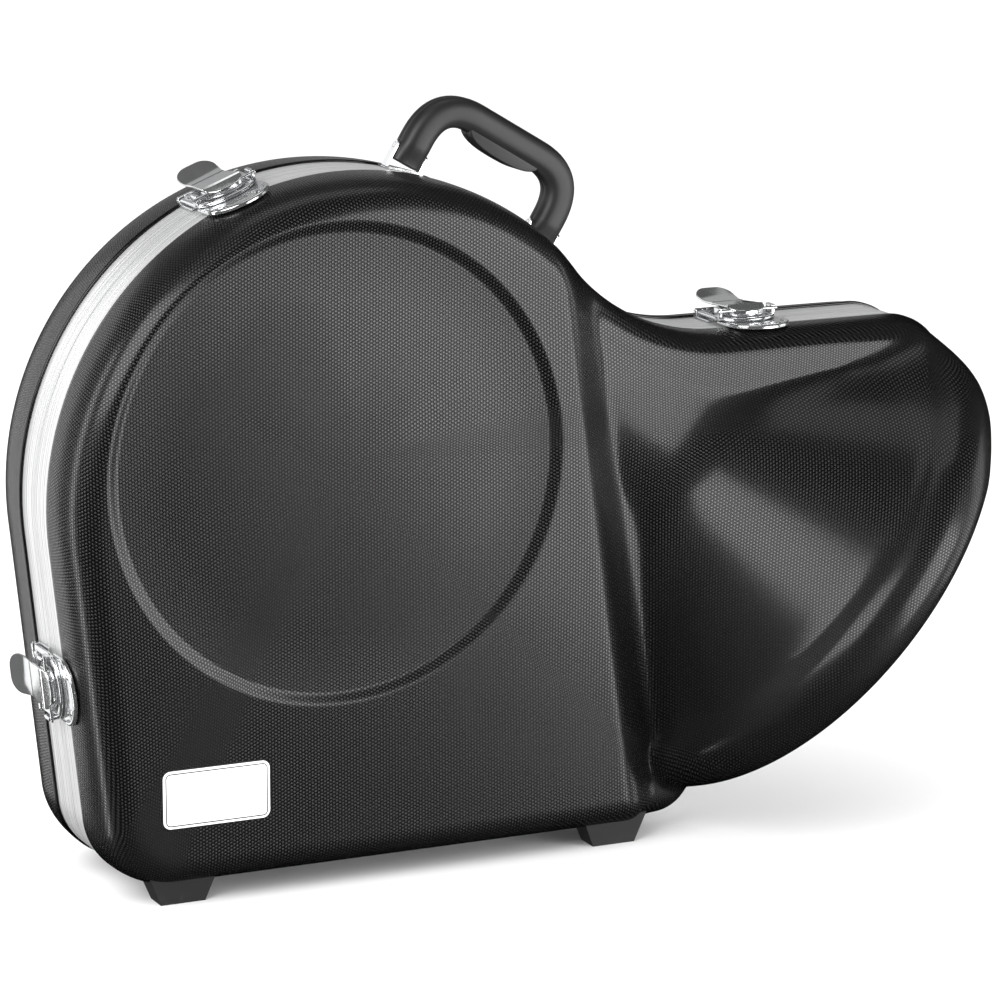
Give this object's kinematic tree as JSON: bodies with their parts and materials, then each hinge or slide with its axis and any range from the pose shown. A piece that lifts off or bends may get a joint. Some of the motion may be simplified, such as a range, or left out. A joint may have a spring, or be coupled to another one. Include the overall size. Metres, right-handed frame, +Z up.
{
  "type": "french horn case",
  "caption": "Moulded french horn case standing on its feet: round body, flared bell end, metal band, draw latches, swinging handle and a bare name plate.",
  "frame": {"origin": "on the ground under the middle of the whole closed case", "axes": "+X from the round body towards the bell end, +Y from the lid half to the back half, +Z up"},
  "size_m": [0.647, 0.3688, 0.4925],
  "materials": {
    "shell": "black, fine pebble grain",
    "band": "satin, fine ribs along its length",
    "chrome": "bright plated",
    "rubber": "black, matte",
    "grip": "black, soft satin",
    "steel": "plated",
    "plush": "dark short pile",
    "plate": "white, thin dark border, bare"
  },
  "bodies": {
    "back": {"shell_back": "shell", "band_back": "band", "liner_back": "plush", "island_pad_back": "plush", "foot_back_left": "rubber", "foot_screw_back_left": "steel", "foot_back_right": "rubber", "foot_screw_back_right": "steel", "hinge_1_leaf_back": "steel", "hinge_1_pin": "steel", "hinge_2_leaf_back": "steel", "hinge_2_pin": "steel", "hinge_3_leaf_back": "steel", "hinge_3_pin": "steel", "latch_1_base": "chrome", "latch_2_base": "chrome", "latch_3_base": "chrome", "handle_bracket_1": "steel", "handle_pin_1": "steel", "handle_bracket_2": "steel", "handle_pin_2": "steel"},
    "lid": {"shell_front": "shell", "band_front": "band", "liner_front": "plush", "island_pad_front": "plush", "name_plate": "plate", "foot_front_left": "rubber", "foot_screw_front_left": "steel", "foot_front_right": "rubber", "foot_screw_front_right": "steel", "hinge_1_leaf_front": "steel", "hinge_2_leaf_front": "steel", "hinge_3_leaf_front": "steel", "latch_1_keeper": "chrome", "latch_2_keeper": "chrome", "latch_3_keeper": "chrome"},
    "handle": {"handle_grip_front": "grip", "handle_grip_back": "grip"},
    "latch_1_link": {"latch_1_link": "chrome"},
    "latch_1_lever": {"latch_1_lever": "chrome"},
    "latch_2_link": {"latch_2_link": "chrome"},
    "latch_2_lever": {"latch_2_lever": "chrome"},
    "latch_3_link": {"latch_3_link": "chrome"},
    "latch_3_lever": {"latch_3_lever": "chrome"}
  },
  "joints": [
    {"name": "lid_hinge", "type": "hinge", "parent": "back", "child": "lid", "pos_m": [-0.0747, 0, 0.0071], "axis": [1, 0, 0], "range_deg": [0, 110]},
    {"name": "latch_1_link_hinge", "type": "hinge", "parent": "back", "child": "latch_1_link", "pos_m": [-0.18863, 0.019, 0.44369], "axis": [-0.9304, 0, -0.3665], "range_deg": [0, 30]},
    {"name": "latch_1_lever_hinge", "type": "hinge", "parent": "latch_1_link", "child": "latch_1_lever", "pos_m": [-0.19046, -0.014, 0.44834], "axis": [0.9304, 0, 0.3665], "range_deg": [0, 75]},
    {"name": "latch_2_link_hinge", "type": "hinge", "parent": "back", "child": "latch_2_link", "pos_m": [0.18028, 0.019, 0.3371], "axis": [-1, 0, 0], "range_deg": [0, 30]},
    {"name": "latch_2_lever_hinge", "type": "hinge", "parent": "latch_2_link", "child": "latch_2_lever", "pos_m": [0.18028, -0.014, 0.3421], "axis": [1, 0, 0], "range_deg": [0, 75]},
    {"name": "latch_3_link_hinge", "type": "hinge", "parent": "back", "child": "latch_3_link", "pos_m": [-0.30905, 0.019, 0.13768], "axis": [0.1045, 0, -0.9945], "range_deg": [0, 30]},
    {"name": "latch_3_lever_hinge", "type": "hinge", "parent": "latch_3_link", "child": "latch_3_lever", "pos_m": [-0.31403, -0.014, 0.13715], "axis": [-0.1045, 0, 0.9945], "range_deg": [0, 75]},
    {"name": "handle_swing", "type": "hinge", "parent": "back", "child": "handle", "pos_m": [-0.00571, 0.01225, 0.4291], "axis": [0.8572, 0, -0.515], "range_deg": [-75, 75]}
  ]
}
